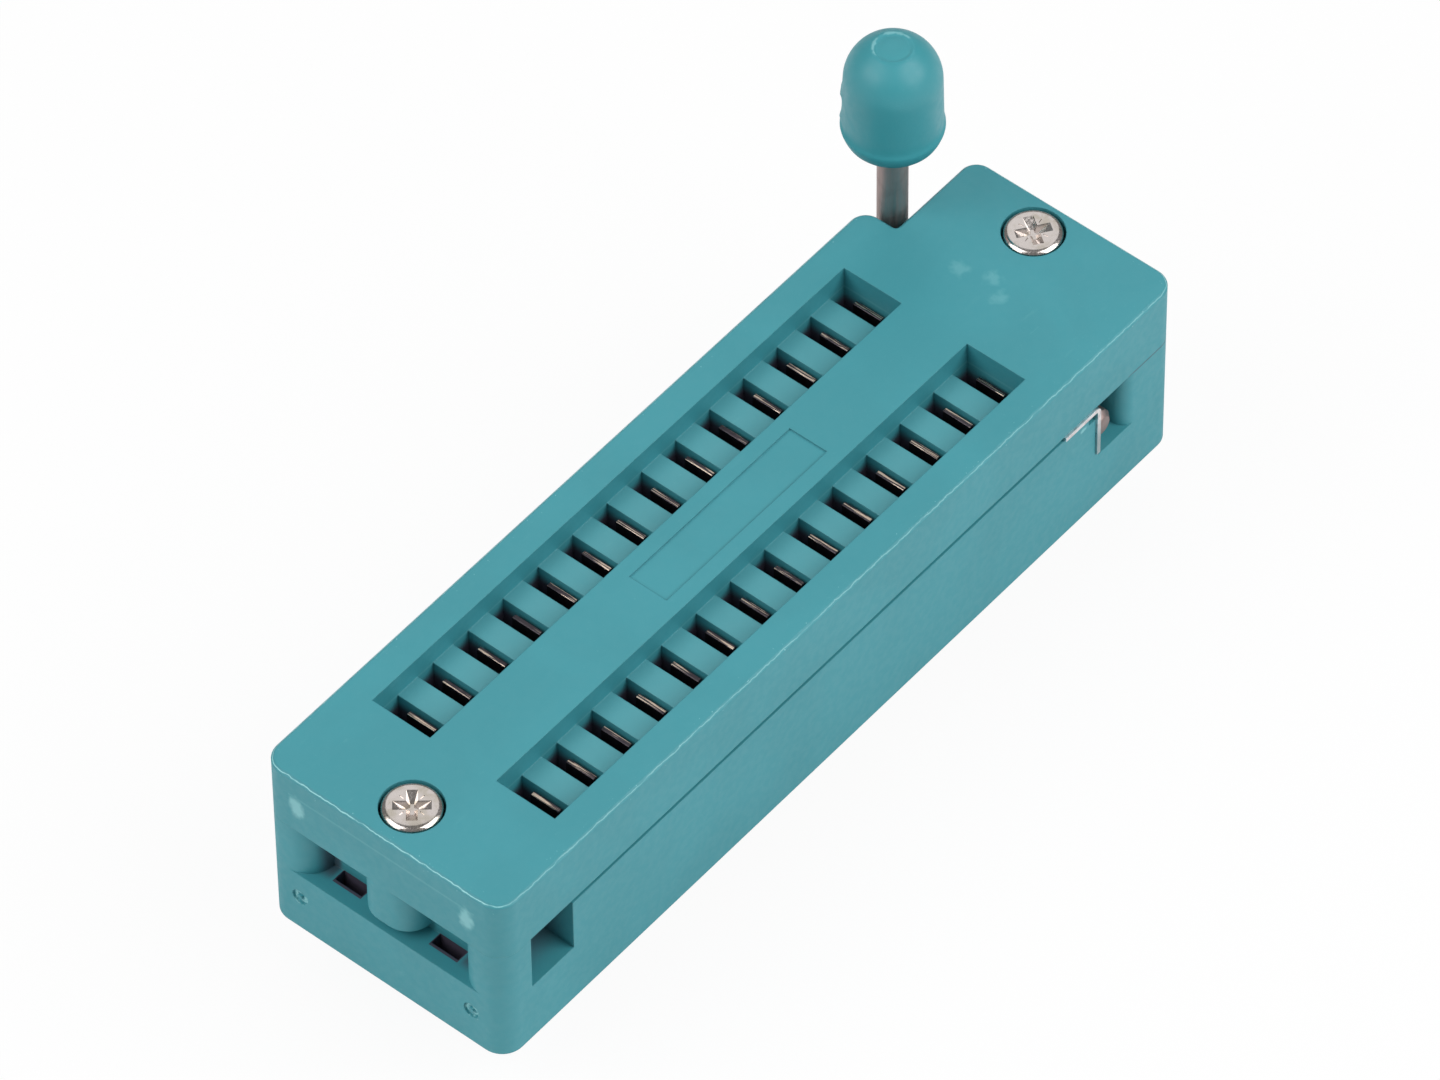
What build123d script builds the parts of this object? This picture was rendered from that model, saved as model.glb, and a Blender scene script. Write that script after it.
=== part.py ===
from build123d import *
import os
from math import radians, sin

# Lever-operated zero insertion force test socket for dual in-line chips.
#
# Millimetres. The origin is the centre of the two rows of contact slots, on
# the plane of the circuit board that the base stands on. X runs along the
# rows towards the lever, Y runs across them towards the lever's arm, Z is up.
# Everything is drawn with the lever upright, which is the open position.

# Contact field
contact_pitch = 2.54
contacts_per_row = 14
row_spacing = 7.62

# Housing, base and cover together
body_width = 14.7
body_height = 11.1
base_height = 7.3
near_end_length = 7.18
lever_end_length = 10.1
corner_radius = 1.2
top_edge_chamfer = 0.15
running_gap = 0.1

# Stamped contacts, places measured from the centre of their slot
strip_metal = 0.25
contact_width = 1.7
fixed_leaf_offset = -0.625
spring_leaf_offset = 0.225
fixed_leaf_rise = 1.1
spring_leaf_sink = 0.25
wipe_drop = 1.3
wipe_reach = 0.14
wipe_half_span = 0.75
bend_height = 0.4
bend_slant = 0.22
tail_width = 0.5
tail_length = 3.3
contact_clearance = 0.05
spring_room = 0.4

# Base
base_floor = 1.6
side_wall = 1.2
wall_relief = 0.25
side_window_inset = 2.05
side_window_length = 3.0
side_window_sill = 3.75
side_window_depth = 3.0
end_window_jamb = 2.95
end_window_sill = 4.0
end_window_depth = 1.55
end_window_corner = 1.5
end_pit_length = 0.65
end_pit_depth = 2.0
end_pit_inner = 2.15
end_pit_margin = 0.6
boss_half_width = 0.95
boss_inset = 0.95
gate_mark_radius = 0.45
gate_mark_bead = 0.15
gate_mark_spacing = 10.6
gate_mark_height = 2.3
gate_mark_depth = 0.12

# Cover
trough_width = 3.57
trough_depth = 1.3
trough_near_margin = 0.68
slot_length = 1.1
label_length = 11.9
label_width = 2.3
label_depth = 0.1
label_offset = 1.61
tab_half_width = 1.75
tab_corner = 1.4
tab_gap = 0.65
saddle_lift = 0.45

# Cover screws
near_screw_inset = 2.3
lever_screw_inset = 1.95
screw_head_diameter = 2.98
screw_head_height = 1.5
screw_head_bevel = 0.3
screw_rise = 0.1
screw_shank_diameter = 1.7
screw_tip_height = 2.0
screw_tip_chamfer = 0.4
screw_recess_width = 0.42
screw_recess_span = 1.75
screw_recess_depth = 0.75
screw_recess_taper = 12
near_screw_turn = 40
lever_screw_turn = 55
head_clearance = 0.11
hole_clearance = 0.1
pilot_clearance = 0.02

# Lever
rod_diameter = 1.55
shaft_inset = 5.0
shaft_height = 4.5
shaft_end_inset = 0.5
shaft_end_chamfer = 0.25
arm_inset = 1.05
arm_bend_radius = 1.2
arm_grip_length = 3.75
lever_swing = 90
crank_half_length = 2.2
crank_slope_length = 0.55
crank_bend_radius = 0.9
crank_end_gap = 0.15
cradle_inset = 0.3
journal_clearance = 0.03

# Knob, heights above its lower face
knob_bottom = 16.15
knob_foot_radius = 2.15
knob_shoulder_radius = 2.45
knob_shoulder_height = 0.3
knob_rim_radius = 2.56
knob_rim_start = 0.75
knob_rim_height = 1.13
knob_body_radius = 2.48
knob_body_start = 1.35
knob_dome_radius = 2.42
knob_dome_start = 4.15
knob_flat_radius = 1.0
knob_mark_radius = 0.88
knob_mark_depth = 0.06
knob_bore_clearance = 0.01

# Lever channel across the base, and the notch that the arm swings in
channel_near_gap = 0.175
channel_lever_gap = 0.3
channel_mouth_radius = 0.715
channel_floor_gap = 0.125
crank_floor_gap = 0.15
notch_inset = 2.08
notch_corner_radius = 0.9
notch_shoulder_radius = 0.9
notch_inner_radius = 0.25

# Shuttle
comb_thickness = 1.55
comb_end_margin = 2.0
comb_corner = 0.5
comb_window_clearance = 0.15
rib_length = 1.2
shuttle_travel = 0.35
spring_gap = 0.05
crank_gap = 0.04
lug_half_width = 1.9
lug_length = 1.37
lug_floor_gap = 0.2
lug_foot_chamfer = 0.45

# Cam strip
strip_seat_length = 2.7
strip_overhang = 0.12
strip_end_gap = 0.05
strip_leg_gap = 0.3
strip_bend_radius = 0.12
strip_relief_length = 0.55
strip_relief_height = 0.6

# Places along X and across Y
half_field = (contacts_per_row - 1) / 2 * contact_pitch
near_face_x = -half_field - near_end_length
lever_face_x = half_field + lever_end_length
half_width = body_width / 2
end_window_half_width = half_width - end_window_jamb
end_pit_outer = end_window_half_width - end_pit_margin
near_screw_x = near_face_x + near_screw_inset
lever_screw_x = lever_face_x - lever_screw_inset
side_window_near_x = near_face_x + side_window_inset
side_window_far_x = side_window_near_x + side_window_length

# Lever: the crank swings evenly to both sides of straight down
rod_radius = rod_diameter / 2
shaft_x = lever_face_x - shaft_inset
shaft_end_y = -half_width + shaft_end_inset
arm_y = half_width - arm_inset
arm_top = knob_bottom + arm_grip_length
notch_y = half_width - notch_inset
journal_radius = rod_radius + journal_clearance
crank_throw = shuttle_travel / (2 * sin(radians(lever_swing / 2)))
crank_shift = Vector(0, 0, -crank_throw).rotate(Axis.Y, -lever_swing / 2)
crank_side = crank_half_length + crank_slope_length + crank_end_gap
cradle_inner = crank_side + cradle_inset
cradle_outer = arm_y - arm_bend_radius - running_gap

# Lever channel
channel_near_x = shaft_x - rod_radius - channel_near_gap
channel_lever_x = shaft_x + rod_radius + channel_lever_gap
channel_floor = shaft_height - rod_radius - channel_floor_gap
crank_floor = shaft_height - crank_throw - rod_radius - crank_floor_gap
strip_inner_x = channel_near_x - strip_metal

# Heights in the housing
above_cover = body_height + trough_depth
wall_top = base_height - wall_relief
comb_top = wall_top - running_gap
comb_bottom = comb_top - comb_thickness
comb_floor = comb_bottom - running_gap
trough_floor = body_height - trough_depth
head_bottom = body_height + screw_rise - screw_head_height
tab_bottom = end_window_sill + tab_gap

# Shuttle
comb_half_width = half_width - side_wall - running_gap
comb_near_x = -half_field - comb_end_margin
comb_lever_x = half_field + comb_end_margin
lug_face_x = shaft_x + crank_shift.X - rod_radius - crank_gap
lug_near_x = lug_face_x - lug_length
lug_bottom = crank_floor + lug_floor_gap

# Contacts
slot_places = GridLocations(contact_pitch, row_spacing, contacts_per_row, 2)
spring_face = spring_leaf_offset + strip_metal / 2
fixed_face = fixed_leaf_offset - strip_metal / 2
fixed_leaf_top = base_height + fixed_leaf_rise
spring_leaf_top = trough_floor - spring_leaf_sink
wipe_height = spring_leaf_top - wipe_drop
cell_width = contact_width + 2 * running_gap


def cut_box(x_range, y_range, z_range):
    """Remove the box between the given corner values from the part being built."""
    sizes = [high - low for low, high in (x_range, y_range, z_range)]
    middle = tuple((low + high) / 2 for low, high in (x_range, y_range, z_range))
    with Locations(middle):
        Box(*sizes, mode=Mode.SUBTRACT)


def cut_shaft(y_range):
    """Remove the shaft's running bore from the part being built, along part of Y."""
    low, high = y_range
    with Locations(Location((shaft_x, (low + high) / 2, shaft_height), (90, 0, 0))):
        Cylinder(journal_radius, high - low, mode=Mode.SUBTRACT)


def body_outline():
    """Draw the rounded rectangle that the base and the cover share."""
    with Locations(((near_face_x + lever_face_x) / 2, 0)):
        RectangleRounded(lever_face_x - near_face_x, body_width, corner_radius)


def both_sides(inner, outer):
    """Give the two ranges of Y that mirror each other, lowest value first."""
    return [(-outer, -inner), (inner, outer)]


def make_base():
    """Lower housing: comb pocket, lever channel, windows and contact cells."""
    with BuildPart() as base:
        with BuildSketch(Plane.XY):
            body_outline()
        extrude(amount=base_height)

        # The long walls stop short of the cover between the windows and the channel.
        across = (-half_width, half_width)
        cut_box((side_window_far_x, channel_near_x), across, (wall_top, base_height))
        cut_comb_pocket()
        cut_lever_channel()
        cut_windows()
        for corner, radius in (
            ((channel_near_x, half_width, shaft_height), notch_shoulder_radius),
            ((channel_lever_x, -half_width, shaft_height), channel_mouth_radius),
            ((lever_face_x, notch_y, shaft_height), notch_corner_radius),
            ((near_face_x, end_window_half_width, shaft_height), end_window_corner),
            ((near_face_x, -end_window_half_width, shaft_height), end_window_corner),
        ):
            posts = base.edges().filter_by(Axis.Z)
            fillet(posts.sort_by_distance(corner)[0], radius)
        cut_gate_marks()

        with BuildSketch(Plane.XY.offset(screw_tip_height - pilot_clearance)):
            with Locations((near_screw_x, 0), (lever_screw_x, 0)):
                Circle(screw_shank_diameter / 2 + pilot_clearance)
        extrude(amount=base_height, mode=Mode.SUBTRACT)

        # One cell for each contact, with a slot in its floor for the tail.
        cell_near = fixed_face - contact_clearance
        cell_far = spring_face + spring_room
        with BuildSketch(Plane.XY.offset(base_floor)):
            with slot_places:
                with Locations(((cell_near + cell_far) / 2, 0)):
                    Rectangle(cell_far - cell_near, cell_width)
        extrude(amount=base_height, mode=Mode.SUBTRACT)
        with BuildSketch(Plane.XY):
            with slot_places:
                with Locations((fixed_leaf_offset, 0)):
                    Rectangle(
                        strip_metal + 2 * contact_clearance,
                        tail_width + 2 * contact_clearance,
                    )
        extrude(amount=base_floor, mode=Mode.SUBTRACT)
    base.part.label = "base"
    export_step(base.part, "parts/base.step")


def cut_comb_pocket():
    """Cut the shallow pocket that the comb slides in, and the deep one for its lug."""
    across = comb_half_width + running_gap
    neck = lug_half_width + running_gap
    slide_room = shuttle_travel + running_gap
    pocket_z = (comb_floor, base_height)
    cut_box((comb_near_x - slide_room, comb_lever_x + running_gap), (-across, across), pocket_z)
    cut_box((comb_lever_x, channel_near_x), (-neck, neck), pocket_z)
    cut_box((lug_near_x - slide_room, channel_near_x), (-neck, neck), (crank_floor, base_height))


def cut_lever_channel():
    """Cut the channel of the shaft and crank, its two cradles and the arm's notch."""
    channel_x = (channel_near_x, channel_lever_x)
    channel_z = (channel_floor, base_height)
    crank_z = (crank_floor, base_height)
    crank_y = (-crank_side, crank_side)
    cut_box(channel_x, (-half_width, -cradle_outer), channel_z)
    cut_box(channel_x, (-cradle_inner, cradle_inner), channel_z)
    cut_box(channel_x, crank_y, crank_z)
    cut_box(channel_x, (cradle_outer, half_width), channel_z)
    cut_box((channel_near_x, lever_face_x), (notch_y, half_width), channel_z)

    # The cradles are open upwards, so that the rod drops in from above.
    cradle_x = (channel_near_x, shaft_x + journal_radius)
    for cradle_y in both_sides(cradle_inner, cradle_outer):
        cut_shaft(cradle_y)
        cut_box(cradle_x, cradle_y, (shaft_height, base_height))

    # Room for the strip's upright leg, and the cut-away edge under its bend.
    leg_x = (strip_inner_x, channel_near_x)
    edge_x = (strip_inner_x - strip_relief_length, channel_near_x)
    along = (-half_width, notch_y + strip_end_gap)
    cut_box(leg_x, along, (channel_floor + strip_leg_gap, base_height))
    cut_box(leg_x, crank_y, crank_z)
    cut_box(edge_x, along, (wall_top - strip_relief_height, base_height))


def cut_windows():
    """Cut the two side windows, and the end window with the pits in its sill."""
    window_x = (side_window_near_x, side_window_far_x)
    for reach in both_sides(half_width - side_window_depth, half_width):
        cut_box(window_x, reach, (side_window_sill, base_height))

    # The end window goes deeper on both sides of the boss round the screw's bore.
    inner_x = near_face_x + end_window_depth
    window_z = (end_window_sill, base_height)
    across = (-end_window_half_width, end_window_half_width)
    cut_box((near_face_x, near_face_x + boss_inset), across, window_z)
    for reach in both_sides(boss_half_width, end_window_half_width):
        cut_box((near_face_x, inner_x), reach, window_z)
    pit_z = (end_window_sill - end_pit_depth, end_window_sill)
    for reach in both_sides(end_pit_inner, end_pit_outer):
        cut_box((inner_x - end_pit_length, inner_x), reach, pit_z)


def cut_gate_marks():
    """Sink the two round moulding gates, each with a bead left in its middle."""
    with BuildSketch(Plane.YZ.offset(near_face_x)) as marks:
        half_spacing = gate_mark_spacing / 2
        with Locations((-half_spacing, gate_mark_height), (half_spacing, gate_mark_height)):
            Circle(gate_mark_radius)
            Circle(gate_mark_bead, mode=Mode.SUBTRACT)
    extrude(marks.sketch, amount=gate_mark_depth, mode=Mode.SUBTRACT)


def make_cover():
    """Upper housing: chip troughs, contact slots, screw seats and shaft saddles."""
    with BuildPart() as cover:
        with BuildSketch(Plane.XY.offset(base_height)) as outline:
            body_outline()
            with Locations((channel_near_x, notch_y)):
                Rectangle(
                    lever_face_x - channel_near_x,
                    notch_inset,
                    align=(Align.MIN, Align.MIN),
                    mode=Mode.SUBTRACT,
                )
            for corner, radius in (
                ((lever_face_x, notch_y), notch_corner_radius),
                ((channel_near_x, half_width), notch_shoulder_radius),
                ((channel_near_x, notch_y), notch_inner_radius),
            ):
                fillet(outline.vertices().sort_by_distance(corner)[0], radius)
        extrude(amount=body_height - base_height)
        chamfer(cover.edges().group_by(Axis.Z)[-1], top_edge_chamfer)

        with Locations((near_screw_x, 0, body_height), (lever_screw_x, 0, body_height)):
            CounterBoreHole(
                radius=screw_shank_diameter / 2 + hole_clearance,
                counter_bore_radius=screw_head_diameter / 2 + head_clearance,
                counter_bore_depth=body_height - head_bottom,
                depth=body_height - base_height,
            )

        # A shallow field between the rows, left bare.
        label_x = (label_offset - label_length / 2, label_offset + label_length / 2)
        label_y = (-label_width / 2, label_width / 2)
        cut_box(label_x, label_y, (body_height - label_depth, above_cover))

        add_end_tab()
        add_saddles()

        # Two troughs guide the chip's legs, and the slots go through their floors.
        trough_x = (
            -half_field - slot_length / 2 - trough_near_margin,
            half_field + slot_length / 2,
        )
        trough_inner = (row_spacing - trough_width) / 2
        for trough_y in both_sides(trough_inner, trough_inner + trough_width):
            cut_box(trough_x, trough_y, (trough_floor, above_cover))
        with BuildSketch(Plane.XY.offset(base_height)):
            with slot_places:
                Rectangle(slot_length, trough_width)
        extrude(amount=trough_floor - base_height, mode=Mode.SUBTRACT)

        # Rooms in the underside for the tops of the fixed leaves.
        room_near = fixed_face - contact_clearance
        with BuildSketch(Plane.XY.offset(base_height)):
            with slot_places:
                with Locations((room_near / 2, 0)):
                    Rectangle(-room_near, cell_width)
        extrude(amount=fixed_leaf_rise + running_gap, mode=Mode.SUBTRACT)
    cover.part.label = "cover"
    export_step(cover.part, "parts/cover.step")


def add_end_tab():
    """Hang the tab that splits the end window in two, hollow where it clears the boss."""
    tab_length = end_window_depth - running_gap
    boss_room = end_window_depth - boss_inset
    with BuildSketch(Plane.XY.offset(tab_bottom)) as tab:
        with Locations((near_face_x, 0)):
            Rectangle(tab_length, 2 * tab_half_width, align=(Align.MIN, Align.CENTER))
        fillet(tab.vertices().group_by(Axis.X)[0], tab_corner)
        with Locations((near_face_x + tab_length, 0)):
            Rectangle(
                boss_room,
                2 * (boss_half_width + running_gap),
                align=(Align.MAX, Align.CENTER),
                mode=Mode.SUBTRACT,
            )
    extrude(tab.sketch, amount=base_height - tab_bottom)


def add_saddles():
    """Hang the two saddles that hold the shaft down in the cradles of the base."""
    saddle_bottom = shaft_height + saddle_lift
    saddle_length = cradle_outer - cradle_inner - 2 * running_gap
    centre = (cradle_inner + cradle_outer) / 2
    with BuildSketch(Plane.XY.offset(saddle_bottom)) as saddles:
        with Locations((shaft_x, -centre), (shaft_x, centre)):
            Rectangle(2 * (rod_radius - journal_clearance), saddle_length)
    extrude(saddles.sketch, amount=base_height - saddle_bottom)
    cut_shaft((-half_width, half_width))


def make_shuttle():
    """Sliding comb that bends the spring leaves, with the lug that the crank pushes."""
    with BuildPart() as shuttle:
        with BuildSketch(Plane.XY.offset(comb_bottom)) as comb:
            with Locations((comb_near_x, 0)):
                Rectangle(
                    comb_lever_x - comb_near_x,
                    2 * comb_half_width,
                    align=(Align.MIN, Align.CENTER),
                )
            chamfer(comb.vertices(), comb_corner)
            with Locations((comb_lever_x, 0)):
                Rectangle(
                    lug_face_x - comb_lever_x,
                    2 * lug_half_width,
                    align=(Align.MIN, Align.CENTER),
                )
            # Each window leaves a rib just beyond the spring leaf.
            window_far = spring_face + spring_gap
            window_length = contact_pitch - rib_length
            with slot_places:
                with Locations((window_far - window_length / 2, 0)):
                    Rectangle(
                        window_length,
                        contact_width + 2 * comb_window_clearance,
                        mode=Mode.SUBTRACT,
                    )
        extrude(amount=comb_thickness)

        with BuildSketch(Plane.XY.offset(lug_bottom)):
            with Locations((lug_near_x, 0)):
                Rectangle(lug_length, 2 * lug_half_width, align=(Align.MIN, Align.CENTER))
        extrude(amount=comb_bottom - lug_bottom)
        foot_edges = shuttle.edges().filter_by(Axis.Y).group_by(Axis.Z)[0]
        chamfer(foot_edges.sort_by(Axis.X)[0], lug_foot_chamfer)
    shuttle.part.label = "shuttle"
    export_step(shuttle.part, "parts/shuttle.step")


def make_cam_strip():
    """Bent sheet strip: flat under the cover, upright along the lever channel."""
    leg_x = channel_near_x - strip_metal / 2
    seat_z = base_height - strip_metal / 2
    leg_bottom = channel_floor + strip_leg_gap
    with BuildPart() as strip:
        with BuildSketch(Plane.XZ.offset(-notch_y)):
            with BuildLine():
                FilletPolyline(
                    (channel_near_x - strip_seat_length, seat_z),
                    (leg_x, seat_z),
                    (leg_x, leg_bottom),
                    radius=strip_bend_radius + strip_metal / 2,
                )
            trace(line_width=strip_metal)
        extrude(amount=notch_y + half_width + strip_overhang)
        # The leg is open in the middle, where the lug and the crank meet.
        opening_x = (strip_inner_x - strip_bend_radius, channel_near_x)
        cut_box(opening_x, (-crank_side, crank_side), (leg_bottom, comb_top + running_gap))
    strip.part.label = "cam_strip"
    export_step(strip.part, "parts/cam_strip.step")


def make_lever_rod():
    """Round rod: shaft with a crank in its middle, bent up into the arm."""
    crank_x = shaft_x + crank_shift.X
    crank_z = shaft_height + crank_shift.Z
    slope_y = crank_half_length + crank_slope_length
    with BuildPart() as rod:
        with BuildLine() as path:
            FilletPolyline(
                (shaft_x, shaft_end_y, shaft_height),
                (shaft_x, -slope_y, shaft_height),
                (crank_x, -crank_half_length, crank_z),
                (crank_x, crank_half_length, crank_z),
                (shaft_x, slope_y, shaft_height),
                (shaft_x, arm_y, shaft_height),
                (shaft_x, arm_y, arm_top),
                radius=[crank_bend_radius] * 4 + [arm_bend_radius],
            )
        with BuildSketch(Plane(origin=path.line @ 0, z_dir=path.line % 0)):
            Circle(rod_radius)
        sweep()
        shaft_end = rod.edges().filter_by(GeomType.CIRCLE).group_by(Axis.Y)[0]
        chamfer(shaft_end, shaft_end_chamfer)
    rod.part.label = "lever_rod"
    export_step(rod.part, "parts/lever_rod.step")


def make_lever_knob():
    """Moulded knob, turned about the arm, with a rim below and a dome on top."""
    rim_z = knob_bottom + knob_rim_height
    body_z = knob_bottom + knob_body_start
    dome_z = knob_bottom + knob_dome_start
    top_z = dome_z + (knob_dome_radius**2 - knob_flat_radius**2) ** 0.5
    with BuildPart() as knob:
        with BuildSketch(Plane((shaft_x, arm_y, 0), x_dir=(1, 0, 0), z_dir=(0, -1, 0))):
            with BuildLine():
                side = Polyline(
                    (0, knob_bottom),
                    (knob_foot_radius, knob_bottom),
                    (knob_shoulder_radius, knob_bottom + knob_shoulder_height),
                    (knob_rim_radius, knob_bottom + knob_rim_start),
                    (knob_rim_radius, rim_z),
                    (knob_body_radius, body_z),
                    (knob_dome_radius, dome_z),
                )
                dome = RadiusArc(side @ 1, (knob_flat_radius, top_z), -knob_dome_radius)
                Polyline(dome @ 1, (0, top_z), (0, knob_bottom))
            make_face()
        revolve(axis=Axis((shaft_x, arm_y, 0), (0, 0, 1)))
        with Locations((shaft_x, arm_y, top_z)):
            Hole(knob_mark_radius, depth=knob_mark_depth)
        with BuildSketch(Plane.XY.offset(knob_bottom)):
            with Locations((shaft_x, arm_y)):
                Circle(rod_radius + knob_bore_clearance)
        extrude(amount=arm_grip_length + running_gap, mode=Mode.SUBTRACT)
    knob.part.label = "lever_knob"
    export_step(knob.part, "parts/lever_knob.step")


def make_cover_screw(name, screw_x, turn):
    """Pan-head screw with a cross recess; its threads are left plain."""
    with BuildPart() as screw:
        with BuildSketch(Plane.XY.offset(head_bottom)):
            with Locations((screw_x, 0)):
                Circle(screw_head_diameter / 2)
        extrude(amount=screw_head_height)
        chamfer(screw.edges().group_by(Axis.Z)[-1], screw_head_bevel)
        with BuildSketch(Plane.XY.offset(screw_tip_height)):
            with Locations((screw_x, 0)):
                Circle(screw_shank_diameter / 2)
        extrude(amount=head_bottom - screw_tip_height)
        chamfer(screw.edges().group_by(Axis.Z)[0], screw_tip_chamfer)
        with BuildSketch(Plane.XY.offset(head_bottom + screw_head_height)):
            with Locations((screw_x, 0)):
                Rectangle(screw_recess_span, screw_recess_width, rotation=turn)
                Rectangle(screw_recess_width, screw_recess_span, rotation=turn)
        extrude(amount=-screw_recess_depth, taper=screw_recess_taper, mode=Mode.SUBTRACT)
    screw.part.label = name
    export_step(screw.part, f"parts/{name}.step")


def make_contact():
    """Stamped contact at the origin's slot: fixed leaf, spring leaf, bend and tail."""
    bend_bottom = base_floor + contact_clearance + strip_metal / 2
    bend_top = bend_bottom + bend_height
    with BuildPart() as contact:
        with BuildSketch(Plane.XZ):
            with BuildLine():
                # The spring leaf bows towards the fixed one where it wipes the chip's leg.
                Polyline(
                    (fixed_leaf_offset, fixed_leaf_top),
                    (fixed_leaf_offset, bend_top),
                    (fixed_leaf_offset + bend_slant, bend_bottom),
                    (spring_leaf_offset - bend_slant, bend_bottom),
                    (spring_leaf_offset, bend_top),
                    (spring_leaf_offset, wipe_height - wipe_half_span),
                    (spring_leaf_offset - wipe_reach, wipe_height),
                    (spring_leaf_offset, wipe_height + wipe_half_span),
                    (spring_leaf_offset, spring_leaf_top),
                )
            trace(line_width=strip_metal)
        extrude(amount=contact_width / 2, both=True)
        with BuildSketch(Plane.XY.offset(-tail_length)):
            with Locations((fixed_leaf_offset, 0)):
                Rectangle(strip_metal, tail_width)
        extrude(amount=tail_length + bend_top)
    return contact.part


def write_contacts():
    """Write a contact for each slot, numbered round the socket as a chip's legs are."""
    contact = make_contact()
    places = sorted(slot_places, key=lambda place: place.position.X)
    front = [place for place in places if place.position.Y < 0]
    back = [place for place in reversed(places) if place.position.Y > 0]
    for number, place in enumerate(front + back, start=1):
        piece = contact.moved(place)
        piece.label = f"contact_{number:02d}"
        export_step(piece, f"parts/{piece.label}.step")


os.makedirs("parts", exist_ok=True)
make_base()
make_cover()
make_shuttle()
make_cam_strip()
make_lever_rod()
make_lever_knob()
make_cover_screw("cover_screw_near", near_screw_x, near_screw_turn)
make_cover_screw("cover_screw_far", lever_screw_x, lever_screw_turn)
write_contacts()
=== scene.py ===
"""Looks of a lever-operated chip test socket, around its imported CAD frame.

Sizes in the classes are millimetres in the CAD's own frame: X runs along the rows
towards the lever, Y towards the lever's arm, Z up from the circuit board.
"""

import logging
import math
from dataclasses import dataclass, field
from enum import Enum

import bmesh
import bpy
from mathutils import Matrix, Vector


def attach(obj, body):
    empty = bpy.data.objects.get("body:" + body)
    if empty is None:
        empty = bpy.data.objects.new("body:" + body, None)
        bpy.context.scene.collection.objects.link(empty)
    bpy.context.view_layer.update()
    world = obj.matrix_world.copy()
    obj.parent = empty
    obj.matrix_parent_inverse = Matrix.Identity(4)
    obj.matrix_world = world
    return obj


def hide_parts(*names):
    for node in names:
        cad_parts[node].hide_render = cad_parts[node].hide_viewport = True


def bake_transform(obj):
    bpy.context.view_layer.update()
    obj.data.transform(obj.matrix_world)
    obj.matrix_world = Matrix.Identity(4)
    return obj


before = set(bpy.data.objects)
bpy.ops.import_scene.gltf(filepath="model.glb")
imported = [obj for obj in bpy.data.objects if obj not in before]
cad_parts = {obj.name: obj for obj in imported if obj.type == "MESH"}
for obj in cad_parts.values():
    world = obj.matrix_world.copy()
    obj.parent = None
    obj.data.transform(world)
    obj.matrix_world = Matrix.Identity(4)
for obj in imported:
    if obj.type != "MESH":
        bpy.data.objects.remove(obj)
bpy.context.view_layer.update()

MM = 0.001
NOISE_SPAN = (0.3, 0.7)  # where most of a noise's values lie
BEVEL_SAMPLES = 4
log = logging.getLogger("socket")

Pair = tuple[float, float]
Triple = tuple[float, float, float]
Colour = tuple[float, float, float, float]
Outline = tuple[Pair, ...]
Signal = bpy.types.NodeSocket
Mesh = bmesh.types.BMesh


class Slot(Enum):
    """Material slots by name."""

    HOUSING = "housing_plastic"
    COMB = "comb_plastic"
    KNOB = "knob_plastic"
    STRIP = "strip_steel"
    LEVER = "lever_steel"
    SCREW = "screw_steel"
    CONTACT = "contact_metal"


class Axis(Enum):
    """Direction that a grain or a mark follows."""

    X = 0
    Y = 1
    Z = 2


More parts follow.
